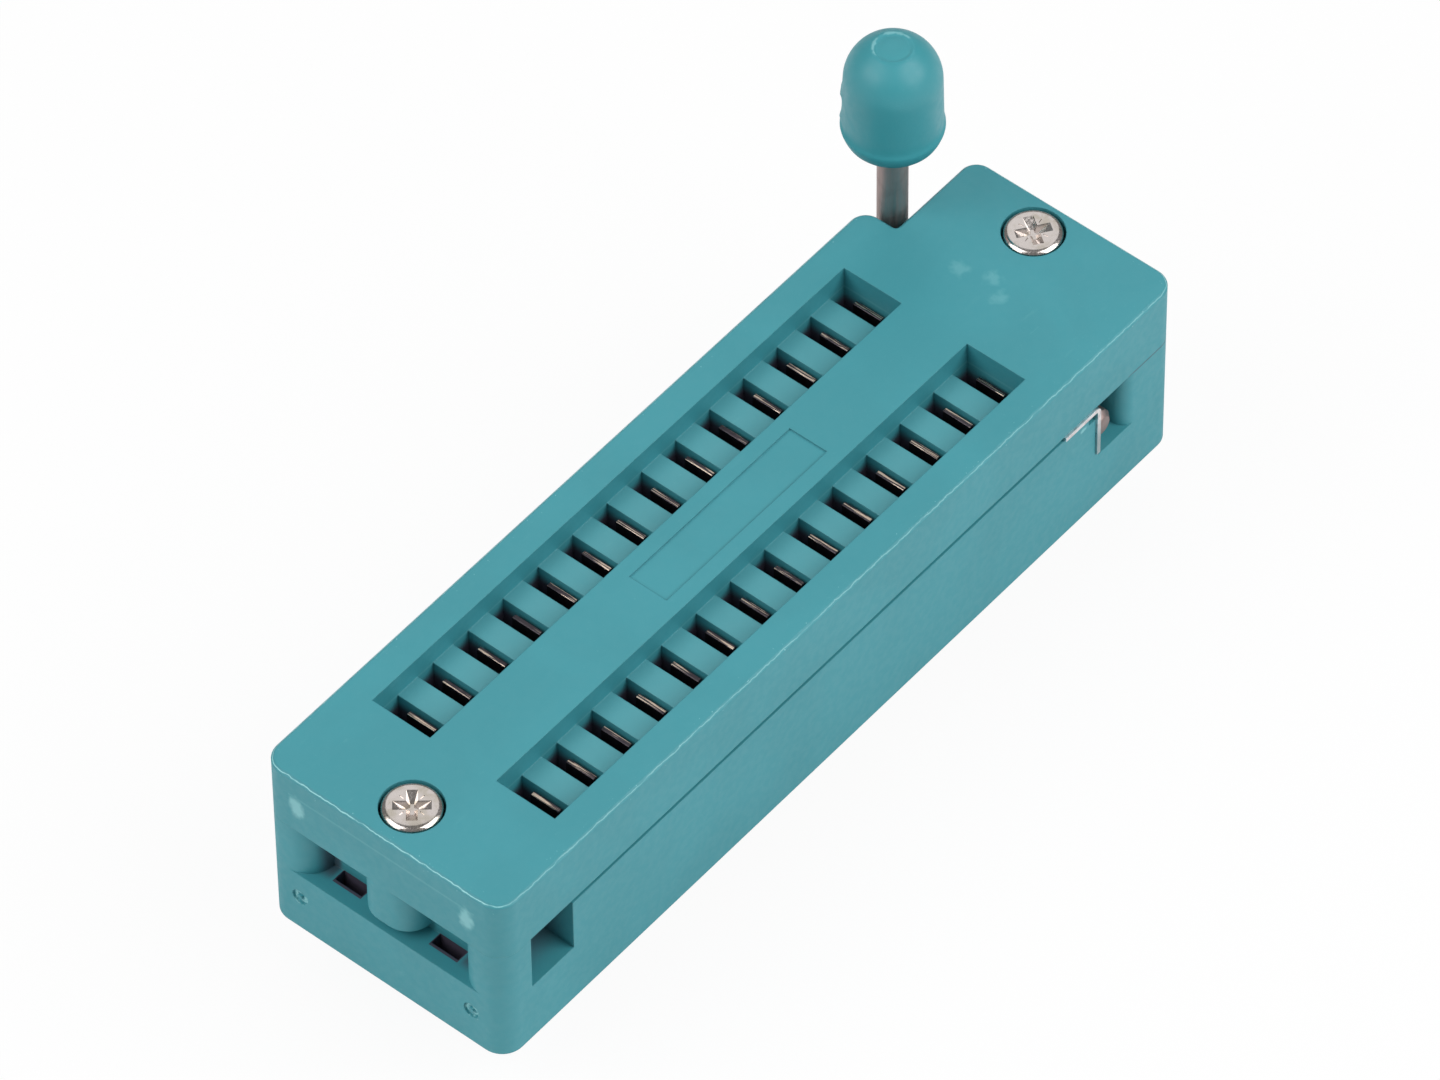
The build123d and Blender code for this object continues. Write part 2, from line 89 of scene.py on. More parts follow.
class ShaderGraph:
    """A material's nodes, with short calls for the nodes that the finishes share."""

    def __init__(self, name: str) -> None:
        """Make the material.

        Args:
            name: Name of the material.
        """
        self.material = bpy.data.materials.new(name)
        self.material.use_nodes = True
        self.tree = self.material.node_tree
        self.shader = self.tree.nodes["Principled BSDF"]
        coordinates = self.node("ShaderNodeTexCoord")
        scale = self.node("ShaderNodeVectorMath", operation="SCALE")
        self.join(coordinates.outputs["Object"], scale.inputs[0])
        scale.inputs["Scale"].default_value = 1 / MM
        self.place = scale.outputs["Vector"]
        self._parts: Signal | None = None

    def node(self, kind: str, **settings: object) -> bpy.types.Node:
        """Add a node.

        Args:
            kind: Blender's name of the node type.
            **settings: Properties to set on it.

        Returns:
            The new node.
        """
        made = self.tree.nodes.new(kind)
        for key, value in settings.items():
            setattr(made, key, value)
        return made

    def join(self, start: object, end: Signal) -> None:
        """Feed a socket from another socket, or set it to a value.

        Args:
            start: A socket, a number or a colour.
            end: The socket that is fed.
        """
        if isinstance(start, Signal):
            self.tree.links.new(start, end)
        else:
            end.default_value = start

    def math(self, operation: str, first: object, second: object = 0.0,
             clamp: bool = False) -> Signal:
        """Add a Math node.

        Args:
            operation: Its operation.
            first: First operand, a socket or a number.
            second: Second operand, a socket or a number.
            clamp: Whether the result stays within 0 and 1.

        Returns:
            Its result.
        """
        made = self.node("ShaderNodeMath", operation=operation, use_clamp=clamp)
        self.join(first, made.inputs[0])
        self.join(second, made.inputs[1])
        return made.outputs[0]

    def fade(self, value: object, low: float, high: float, start: float = 0.0,
             end: float = 1.0) -> Signal:
        """Map a value smoothly from one range to another.

        Args:
            value: The value that is mapped.
            low: Value that gives start.
            high: Value that gives end.
            start: Result at low.
            end: Result at high.

        Returns:
            The mapped value.
        """
        made = self.node("ShaderNodeMapRange", interpolation_type="SMOOTHSTEP")
        self.join(value, made.inputs["Value"])
        for name, number in zip(("From Min", "From Max", "To Min", "To Max"),
                                (low, high, start, end)):
            made.inputs[name].default_value = number
        return made.outputs["Result"]

    def combine(self, operation: str, *values: object) -> Signal:
        """Chain Math nodes of one operation.

        Args:
            operation: Their operation.
            *values: Sockets or numbers, the first a socket.

        Returns:
            The last node's result.
        """
        result = values[0]
        for value in values[1:]:
            result = self.math(operation, result, value)
        return result

    def away(self, value: object, middle: float) -> Signal:
        """Measure how far a value is from the middle, never below 0."""
        return self.math("ABSOLUTE", self.math("SUBTRACT", value, middle))

    def axis(self, axis: Axis) -> Signal:
        """Give one coordinate of the place on the part, in millimetres.

        Args:
            axis: Which coordinate.

        Returns:
            The coordinate.
        """
        if self._parts is None:
            split = self.node("ShaderNodeSeparateXYZ")
            self.join(self.place, split.inputs[0])
            self._parts = split.outputs
        return self._parts[axis.value]

    def noise(self, scale: float, detail: float = 2.0, stretch: Triple = (1, 1, 1),
              shift: Triple = (0, 0, 0), distortion: float = 0.0) -> Signal:
        """Add a Noise texture on the part's own coordinates.

        Args:
            scale: Features per millimetre.
            detail: Detail levels.
            stretch: Factor along each axis, small along the grain.
            shift: Offset of the pattern in millimetres.
            distortion: How far the pattern is warped.

        Returns:
            Its value, about 0.5 in the middle.
        """
        mapping = self.node("ShaderNodeMapping")
        self.join(self.place, mapping.inputs["Vector"])
        mapping.inputs["Scale"].default_value = stretch
        mapping.inputs["Location"].default_value = shift
        made = self.node("ShaderNodeTexNoise")
        self.join(mapping.outputs[0], made.inputs["Vector"])
        made.inputs["Scale"].default_value = scale
        made.inputs["Detail"].default_value = detail
        made.inputs["Distortion"].default_value = distortion
        return made.outputs["Fac"]

    def mix(self, factor: object, first: object, second: object) -> Signal:
        """Mix two colours.

        Args:
            factor: Share of the second.
            first: First colour, a socket or four numbers.
            second: Second colour, a socket or four numbers.

        Returns:
            The mixed colour.
        """
        made = self.node("ShaderNodeMix", data_type="RGBA")
        colours = [entry for entry in made.inputs if entry.type == "RGBA"]
        self.join(factor, made.inputs["Factor"])
        self.join(first, colours[0])
        self.join(second, colours[1])
        return next(entry for entry in made.outputs if entry.type == "RGBA")

    def spot(self, centre: Triple, radii: Triple) -> Signal:
        """Measure how far a point lies from a spot, as a share of the spot's radii.

        Args:
            centre: Middle of the spot in millimetres.
            radii: Its radius along each axis in millimetres.

        Returns:
            0 in the middle and 1 at the rim.
        """
        mapping = self.node("ShaderNodeMapping", vector_type="POINT")
        mapping.inputs["Location"].default_value = [-c / r for c, r in zip(centre, radii)]
        mapping.inputs["Scale"].default_value = [1 / r for r in radii]
        self.join(self.place, mapping.inputs["Vector"])
        length = self.node("ShaderNodeVectorMath", operation="LENGTH")
        self.join(mapping.outputs[0], length.inputs[0])
        return length.outputs["Value"]

    def ragged(self, value: object, amount: float, scale: float,
               shift: Triple = (0, 0, 0)) -> Signal:
        """Add noise of up to an amount to a distance, for an uneven outline."""
        uneven = self.math("MULTIPLY", self.noise(scale, 3, shift=shift), amount)
        return self.math("ADD", value, uneven)

    def finish(self, colour: object, roughness: object, height: object = None,
               depth: float = 0.0, edge_radius: float = 0.0) -> bpy.types.Material:
        """Feed the shader.

        Args:
            colour: Base colour, a socket or four numbers.
            roughness: Roughness, a socket or a number.
            height: Relief, a socket, or None for a smooth surface.
            depth: Depth of the relief in millimetres.
            edge_radius: Radius that edges seem rounded to, in millimetres.

        Returns:
            The material.
        """
        self.join(colour, self.shader.inputs["Base Color"])
        self.join(roughness, self.shader.inputs["Roughness"])
        normal = None
        if edge_radius:
            bevel = self.node("ShaderNodeBevel", samples=BEVEL_SAMPLES)
            bevel.inputs["Radius"].default_value = edge_radius * MM
            normal = bevel.outputs[0]
        if height is not None:
            bump = self.node("ShaderNodeBump")
            bump.inputs["Distance"].default_value = depth * MM
            self.join(height, bump.inputs["Height"])
            if normal is not None:
                self.join(normal, bump.inputs["Normal"])
            normal = bump.outputs[0]
        if normal is not None:
            self.join(normal, self.shader.inputs["Normal"])
        return self.material


@dataclass(frozen=True)
class Limits:
    """Hard limits along an axis, which is first folded about the places in folds."""

    axis: Axis
    span: Pair
    folds: tuple[float, ...] = ()

    def value(self, graph: ShaderGraph) -> Signal:
        """Give the folded coordinate.

        Args:
            graph: The material's nodes.

        Returns:
            The coordinate in millimetres.
        """
        value = graph.axis(self.axis)
        for middle in self.folds:
            value = graph.away(value, middle)
        return value

    def level(self, graph: ShaderGraph) -> Signal:
        """Give 1 within the limits and 0 outside them."""
        value = self.value(graph)
        return graph.math("MULTIPLY", graph.math("GREATER_THAN", value, self.span[0]),
                          graph.math("LESS_THAN", value, self.span[1]))


@dataclass(frozen=True)
class Fade(Limits):
    """Smooth change from one level to another along an axis."""

    levels: Pair = (0.0, 1.0)

    def level(self, graph: ShaderGraph) -> Signal:
        """Give the level, which changes over the span."""
        return graph.fade(self.value(graph), *self.span, *self.levels)


@dataclass(frozen=True)
class Region:
    """Part of the surface that limits and fades pick out together."""

    parts: tuple[Limits, ...]

    def level(self, graph: ShaderGraph) -> Signal:
        """Give the mask of the region, 0 outside it."""
        return graph.combine("MULTIPLY", *(part.level(graph) for part in self.parts))


@dataclass(frozen=True)
class Mottle:
    """Uneven mask drawn from noise, such as clouding, scuffs or flecks."""

    scale: float
    span: Pair
    levels: Pair = (0.0, 1.0)
    detail: float = 2.0
    stretch: Triple = (1, 1, 1)
    shift: Triple = (0, 0, 0)
    distortion: float = 0.0

    def level(self, graph: ShaderGraph) -> Signal:
        """Give the level, which changes where the noise crosses the span."""
        noise = graph.noise(self.scale, self.detail, self.stretch, self.shift, self.distortion)
        return graph.fade(noise, *self.span, *self.levels)


@dataclass(frozen=True)
class Blot:
    """Mark with an uneven outline, hollow in its middle where hollow is given."""

    radii: Triple
    unevenness: float
    scale: float
    span: Pair
    share: float
    hollow: Pair | None = None

    def level(self, graph: ShaderGraph, centre: Triple, shift: Triple = (0, 0, 0)) -> Signal:
        """Give the mask of the mark at a place.

        Args:
            graph: The material's nodes.
            centre: Middle of the mark in millimetres.
            shift: Offset of the noise in its outline, in millimetres.

        Returns:
            The mask, 0 outside the mark.
        """
        away = graph.ragged(graph.spot(centre, self.radii), self.unevenness, self.scale, shift)
        mask = graph.fade(away, *self.span, self.share, 0)
        if self.hollow is None:
            return mask
        return graph.math("MULTIPLY", mask, graph.fade(away, *self.hollow))


@dataclass(frozen=True)
class FlashLine:
    """Thin wandering line where two faces meet, with flecks beside it."""

    half_width: float = 0.03
    blur: float = 0.045
    wander: float = 0.3
    wander_scale: float = 1.9
    wander_shift: Triple = (0, 7, 3)
    unevenness: float = 0.03
    uneven_scale: float = 6.0
    reach: Pair = (0.18, 0.28)
    kept: Mottle = Mottle(0.8, (0.34, 0.5), (0.25, 1), 4, shift=(1, 2, 5))
    long_side: Fade = Fade(Axis.Y, (-7.2, -6.9), levels=(0.5, 1))
    fleck: Mottle = Mottle(5.5, (0.69, 0.75), shift=(3, 1, 0))
    fleck_reach: Pair = (0.3, 0.7)
    fleck_share: float = 0.7

    def level(self, graph: ShaderGraph, inward: Signal, below: Signal) -> Signal:
        """Give the mask of the line and its flecks.

        Args:
            graph: The material's nodes.
            inward: Distance from one face, in millimetres.
            below: Distance from the other.

        Returns:
            The mask, 1 on the line.
        """
        noise = graph.noise(self.wander_scale, 5, shift=self.wander_shift)
        wander = graph.math("SUBTRACT", noise, 0.5)
        aside = graph.math("ADD", graph.math("SUBTRACT", inward, below),
                           graph.math("MULTIPLY", wander, self.wander))
        aside = graph.ragged(graph.math("ABSOLUTE", aside), self.unevenness, self.uneven_scale)
        line = graph.combine(
            "MULTIPLY", graph.fade(aside, self.half_width, self.half_width + self.blur, 1, 0),
            graph.fade(graph.math("MAXIMUM", inward, below), *self.reach, 1, 0),
            self.kept.level(graph), self.long_side.level(graph))
        beside = graph.fade(graph.math("ADD", inward, below), *self.fleck_reach,
                            self.fleck_share, 0)
        return graph.math("MAXIMUM", line,
                          graph.math("MULTIPLY", self.fleck.level(graph), beside))


@dataclass(frozen=True)
class MouldedPlastic:
    """Satin moulded plastic with a fine grain, faint clouding and light scuffs."""

    name: str
    colour: Triple
    roughness: float = 0.5
    clouding: float = 0.03
    grain_depth: float = 0.003
    edge_radius: float = 0.08
    scuffs: float = 0.25
    pale: Colour = (0.2, 0.5, 0.53, 1)
    cloud: Mottle = Mottle(0.16, (0.35, 0.65), detail=4, distortion=0.4)
    speck: Mottle = Mottle(7.0, (0.66, 0.8), (0, 0.1))
    scuff: Mottle = Mottle(1.6, (0.64, 0.74), detail=3, stretch=(0.35, 1.6, 1))
    scuffed: Mottle = Mottle(0.09, (0.45, 0.7), shift=(4, 9, 2))
    grain_scale: float = 5.0
    wave_scale: float = 0.7
    sheen_scale: float = 2.2
    sheen_spread: float = 0.06
    reflection: Fade | None = None

    def base(self, graph: ShaderGraph) -> Signal:
        """Give the clouded and scuffed colour.

        Args:
            graph: The material's nodes.

        Returns:
            The colour.
        """
        dark = [c * (1 - self.clouding) for c in self.colour] + [1]
        light = [c * (1 + self.clouding) for c in self.colour] + [1]
        colour = graph.mix(self.cloud.level(graph), dark, light)
        colour = graph.mix(self.speck.level(graph), colour, self.pale)
        worn = graph.combine("MULTIPLY", self.scuff.level(graph), self.scuffed.level(graph),
                             self.scuffs)
        return graph.mix(worn, colour, self.pale)

    def material(self) -> bpy.types.Material:
        """Build the material.

        Returns:
            The material.
        """
        graph = ShaderGraph(self.name)
        if self.reflection is not None:
            graph.join(self.reflection.level(graph), graph.shader.inputs["Specular IOR Level"])
        rough = graph.fade(graph.noise(self.sheen_scale, 3), *NOISE_SPAN,
                           self.roughness - self.sheen_spread,
                           self.roughness + self.sheen_spread)
        relief = graph.math("ADD", graph.noise(self.grain_scale, 3),
                            graph.noise(self.wave_scale))
        return graph.finish(self.base(graph), rough, relief, self.grain_depth,
                            self.edge_radius)


@dataclass(frozen=True)
class HousingPlastic(MouldedPlastic):
    """The housing's plastic: moulding marks, painted light on the trough floor, painted shade
    in openings.
    """

    # Pale colour of the flash and the marks; the trough floor's painted light uses it too.
    flash: Colour = (0.3, 0.66, 0.68, 1)
    middle_x: float = 1.46
    half_length: float = 25.15
    half_width: float = 7.35
    corner_radius: float = 1.2
    top_z: float = 11.1
    line: FlashLine = FlashLine()
    # Painted light: the trough floor and rib tops round z 9.8, lightened towards the flash
    # colour.
    rib_painted_light: Region = Region((Fade(Axis.Z, (0.03, 0.1), (9.8,), (0.13, 0)),
                           Limits(Axis.Y, (-5.7, 5.7))))
    smear: Blot = Blot((0.6, 0.52, 0.85), 1.0, 2.6, (0.9, 1.6), 0.62)
    smear_place: Pair = (5.2, 9.1)
    gate: Blot = Blot((1.2, 0.45, 0.45), 1.5, 3.4, (1.45, 1.8), 0.85, (1.15, 1.4))
    gate_place: Pair = (5.3, 2.3)
    smudge: Blot = Blot((0.7, 0.6, 0.3), 1.6, 2.4, (0.9, 1.8), 0.2)
    smudge_places: Outline = ((20.6, 1.3), (21.1, -0.4), (20.3, -1.4))
    chip: Blot = Blot((0.3, 0.1, 0.22), 0.9, 5.0, (0.8, 1.3), 0.6)
    chip_place: Triple = (19.45, -7.35, 6.5)
    # Painted shade: the colour laid into the openings below; the dark joint line uses it too.
    shadow: Colour = (0.07, 0.06, 0.09, 1)
    # Painted shade in the slots, darker with depth.
    slots: Region = Region((Fade(Axis.Z, (8.7, 9.5), levels=(1, 0)),
                            Limits(Axis.X, (-17.3, 17.3)), Limits(Axis.Y, (-5.7, 5.7))))
    # Painted shade inside the pits of the end windows.
    pit_painted_shade: Region = Region((Fade(Axis.Z, (4.03, 4.06), levels=(1, 0)),
                           Limits(Axis.X, (-22.95, -22.1)), Limits(Axis.Y, (2.1, 3.85), (0,))))
    # Painted shade where the end windows' jambs meet the back wall.
    window_end_painted_shade: Region = Region((
        Fade(Axis.Y, (0.25, 0.6), (0, 4.4), (0.75, 0)), Fade(Axis.X, (-23.2, -22.5)),
        Fade(Axis.Z, (3.83, 4.03)), Limits(Axis.X, (-23.2, -21.9)),
        Limits(Axis.Z, (3.83, 6.0))))
    # Painted shade inside the side windows, darker further in.
    side_window_painted_shade: Region = Region((
        Fade(Axis.Y, (5.3, 7.2), (0,), (0.62, 0)), Limits(Axis.X, (-22.0, -18.2)),
        Limits(Axis.Z, (1.5, 7.35))))
    joint: Region = Region((Fade(Axis.Z, (0.025, 0.06), (7.3,), (0.6, 0)),
                            Limits(Axis.X, (22.9, 30.0))))

    def inward(self, graph: ShaderGraph) -> Signal:
        """Measure how far a point lies inside the rounded outline of the housing.

        Args:
            graph: The material's nodes.

        Returns:
            The distance in millimetres, 0 on the outer faces.
        """
        past = []
        for axis, middle, half in ((Axis.X, self.middle_x, self.half_length),
                                   (Axis.Y, 0.0, self.half_width)):
            away = graph.away(graph.axis(axis), middle)
            past.append(graph.math("SUBTRACT", away, half - self.corner_radius))
        squares = [graph.math("POWER", graph.math("MAXIMUM", side, 0.0), 2.0) for side in past]
        corner = graph.math("SQRT", graph.math("ADD", *squares))
        flat = graph.math("MINIMUM", graph.math("MAXIMUM", *past), 0.0)
        return graph.math("SUBTRACT", self.corner_radius, graph.math("ADD", corner, flat))

    def marks(self, graph: ShaderGraph) -> Signal:
        """Give the mask of every pale mark on the housing, and of the painted light on the
        trough floor.

        Args:
            graph: The material's nodes.

        Returns:
            The mask.
        """
        below = graph.away(graph.axis(Axis.Z), self.top_z)
        # The trough-floor mask is painted light; the rest are flash, moulding marks, smudges
        # and a chip.
        masks = [self.line.level(graph, self.inward(graph), below), self.rib_painted_light.level(graph)]
        near_x = self.middle_x - self.half_length
        for side in (-1, 1):
            for blot, (place_y, place_z), shift in (
                    (self.smear, self.smear_place, (side, 0, 0)),
                    (self.gate, self.gate_place, (0, side, 0))):
                masks.append(blot.level(graph, (near_x, side * place_y, place_z), shift))
        masks += [self.smudge.level(graph, (*place, self.top_z))
                  for place in self.smudge_places]
        return graph.combine("MAXIMUM", *masks, self.chip.level(graph, self.chip_place))

    def base(self, graph: ShaderGraph) -> Signal:
        """Give the plastic's colour with the marks and the painted shade laid over it.

        Args:
            graph: The material's nodes.

        Returns:
            The colour.
        """
        colour = graph.mix(self.marks(graph), super().base(graph), self.flash)
        # Painted shade in the openings, with the dark joint line.
        shade_and_joint_regions = (self.slots, self.pit_painted_shade, self.window_end_painted_shade, self.side_window_painted_shade, self.joint)
        dark = graph.combine("MAXIMUM", *(region.level(graph) for region in shade_and_joint_regions))
        return graph.mix(dark, colour, self.shadow)


@dataclass(frozen=True)
class KnobPlastic(MouldedPlastic):
    """The knob's plastic, paler round the gate mark on its top, with painted shade underneath.
    """

    middle: Triple = (21.61, 6.3, 22.5)
    ring_radius: float = 0.98
    ring_span: Pair = (0.16, 0.26)
    ring_share: float = 0.8
    ring_unevenness: float = 0.3
    ring_scale: float = 3.0
    arcs: Mottle = Mottle(0.9, (0.42, 0.56), shift=(2, 6, 1))
    # Painted shade: the knob's foot darkened towards the bottom.
    shaded: Colour = (0.02, 0.13, 0.15, 1)
    underside_painted_shade: Fade = Fade(Axis.Z, (16.3, 17.1), levels=(0.45, 0))
    reflection: Fade | None = Fade(Axis.Z, (17.2, 18.2), levels=(0.1, 0.5))

    def base(self, graph: ShaderGraph) -> Signal:
        """Give the plastic's colour with the broken ring and the painted shade underneath.

        Args:
            graph: The material's nodes.

        Returns:
            The colour.
        """
        size = self.ring_radius
        off = graph.away(graph.spot(self.middle, (size, size, 2 * size)), 1.0)
        off = graph.ragged(off, self.ring_unevenness, self.ring_scale)
        ring = graph.math("MULTIPLY", graph.fade(off, *self.ring_span, self.ring_share, 0),
                          self.arcs.level(graph))
        colour = graph.mix(ring, super().base(graph), self.pale)
        return graph.mix(self.underside_painted_shade.level(graph), colour, self.shaded)


@dataclass(frozen=True)
class WorkedMetal:
    """Metal with a grain along one axis, patches of tarnish and fine scratches."""

    name: str
    colour: Triple
    tarnish: Triple
    roughness: float = 0.3
    grain: Axis = Axis.X
    tarnish_share: float = 0.5
    edge_radius: float = 0.0
    patch_scale: float = 0.8
    grain_depth: float = 0.004
    patch_span: Pair = (0.42, 0.66)
    patch_warp: float = 0.6
    grain_scale: float = 9.0
    grain_stretch: float = 0.06
    roughness_spread: Pair = (-0.07, 0.09)

    def base(self, graph: ShaderGraph) -> Signal:
        """Give the metal's colour with its tarnish.

        Args:
            graph: The material's nodes.

        Returns:
            The colour.
        """
        patches = graph.noise(self.patch_scale, 4, distortion=self.patch_warp)
        share = graph.fade(patches, *self.patch_span, 0, self.tarnish_share)
        return graph.mix(share, (*self.colour, 1), (*self.tarnish, 1))

    def material(self) -> bpy.types.Material:
        """Build the material.

        Returns:
            The material.
        """
        graph = ShaderGraph(self.name)
        graph.shader.inputs["Metallic"].default_value = 1.0
        stretch = [1.0, 1.0, 1.0]
        stretch[self.grain.value] = self.grain_stretch
        lines = graph.noise(self.grain_scale, 3, stretch=tuple(stretch))
        rough = graph.fade(lines, *NOISE_SPAN,
                           *(self.roughness + more for more in self.roughness_spread))
        return graph.finish(self.base(graph), rough, lines, self.grain_depth, self.edge_radius)


@dataclass(frozen=True)
class ContactMetal(WorkedMetal):
    """Strip metal whose dark colour is painted shade, with a painted highlight along the
    leaf's top edge and a tinned tail.
    """

    # Painted highlight along the spring leaf's top edge, broken into streaks.
    bright: Colour = (0.75, 0.6, 0.48, 1)
    top_edge_highlight: Fade = Fade(Axis.Z, (9.53, 9.54))
    highlight_breaks: Mottle = Mottle(1.0, (0.52, 0.59), stretch=(17, 0.5, 1), shift=(5, 0, 0))
    tin: Colour = (0.46, 0.44, 0.41, 1)
    tinned: Fade = Fade(Axis.Z, (1.0, 1.6), levels=(1, 0))

    def base(self, graph: ShaderGraph) -> Signal:
        """Give the metal's colour with the painted highlight on the top edge and the tinned
        tail.

        Args:
            graph: The material's nodes.

        Returns:
            The colour.
        """
        colour = graph.mix(self.tinned.level(graph), super().base(graph), self.tin)
        # Painted highlight on the top edge.
        edge = graph.math("MULTIPLY", self.top_edge_highlight.level(graph), self.highlight_breaks.level(graph))
        return graph.mix(edge, colour, self.bright)


@dataclass(frozen=True)
class StripMetal(WorkedMetal):
    """Bright sheet metal with a painted reflection of the teal plastic down its leg."""

    tint: Colour = (0.3, 0.42, 0.44, 1)
    # Painted reflection of the teal plastic, strongest low on the leg.
    leg: Fade = Fade(Axis.Z, (4.9, 6.8), levels=(0.8, 0))

    def base(self, graph: ShaderGraph) -> Signal:
        """Give the metal's colour with the painted reflection on the leg."""
        return graph.mix(self.leg.level(graph), super().base(graph), self.tint)


def new_object(name: str, data: bpy.types.ID) -> bpy.types.Object:
    """Put a new object into the scene.

    Args:
        name: Its name.
        data: Its mesh, lamp or camera.

    Returns:
        The object.
    """
    made = bpy.data.objects.new(name, data)
    bpy.context.scene.collection.objects.link(made)
    return made


def verts_of(made: list) -> list[bmesh.types.BMVert]:
    """Pick the verts out of what an operator made."""
    return [item for item in made if isinstance(item, bmesh.types.BMVert)]


def cut_edges(mesh: Mesh, edges: list, size: float) -> None:
    """Cut edges back with a single flat, by a size in millimetres."""
    bmesh.ops.bevel(mesh, geom=edges, offset=size * MM, offset_type="OFFSET", segments=1,
                    profile=0.5, affect="EDGES", material=-1)


class Dresser:
    """Shared ways to turn bmeshes and CAD nodes into finished pieces."""

    sharp_degrees = 32.0
    weld = 0.0001
    node_weld = 0.001

    def shade(self, mesh: Mesh, sharp_degrees: float) -> None:
        """Shade smoothly, with edges over an angle kept sharp.

        Args:
            mesh: The mesh.
            sharp_degrees: Angle between faces from which an edge stays sharp.
        """
        for face in mesh.faces:
            face.smooth = True
        for edge in mesh.edges:
            edge.smooth = edge.calc_face_angle(0) < math.radians(sharp_degrees)

    def piece(self, mesh: Mesh, name: str, body: str, slot: Slot,
              material: bpy.types.Material, sharp_degrees: float | None = None
              ) -> bpy.types.Object:
        """Turn a bmesh into a piece that rides on a body.

        Args:
            mesh: The mesh in metres, freed here.
            name: Name of the piece.
            body: Body that it rides on, or an empty word to leave it on no body.
            slot: Material slot; not used.
            material: Its material.
            sharp_degrees: Angle from which edges stay sharp.

        Returns:
            The new object.
        """
        bmesh.ops.remove_doubles(mesh, verts=mesh.verts, dist=self.weld * MM)
        bmesh.ops.recalc_face_normals(mesh, faces=mesh.faces)
        self.shade(mesh, self.sharp_degrees if sharp_degrees is None else sharp_degrees)
        data = bpy.data.meshes.new(name)
        mesh.to_mesh(data)
        mesh.free()
        data.materials.append(material)
        made = new_object(name, data)
        if body:
            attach(made, body)
        log.info("piece %s: %d faces", name, len(data.polygons))
        return made

    def dressed_copy(self, node: str, name: str, body: str, slot: Slot,
                     material: bpy.types.Material) -> bpy.types.Object:
        """Copy a CAD node's mesh, weld and smooth it, and let it stand for the node.

        Args:
            node: The CAD node.
            name: Name of the copy.
            body: Body that it rides on.
            slot: Material slot, passed on to piece.
            material: Its material.

        Returns:
            The new object.
        """
        mesh = bmesh.new()
        mesh.from_mesh(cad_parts[node].data)
        bmesh.ops.remove_doubles(mesh, verts=mesh.verts, dist=self.node_weld * MM)
        made = self.piece(mesh, name, body, slot, material)
        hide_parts(node)
        return made


@dataclass(frozen=True)
class Lamp:
    """Square lamp that looks at the part."""

    name: str
    place: Triple
    size: float
    watts: float

    def hang(self) -> None:
        """Hang the lamp at its place."""
        data = bpy.data.lights.new(self.name, "AREA")
        data.size = self.size * MM
        data.energy = self.watts
        lamp = new_object(self.name, data)
        lamp.location = Vector(self.place) * MM
        lamp.rotation_euler = Vector(self.place).to_track_quat("Z", "Y").to_euler()


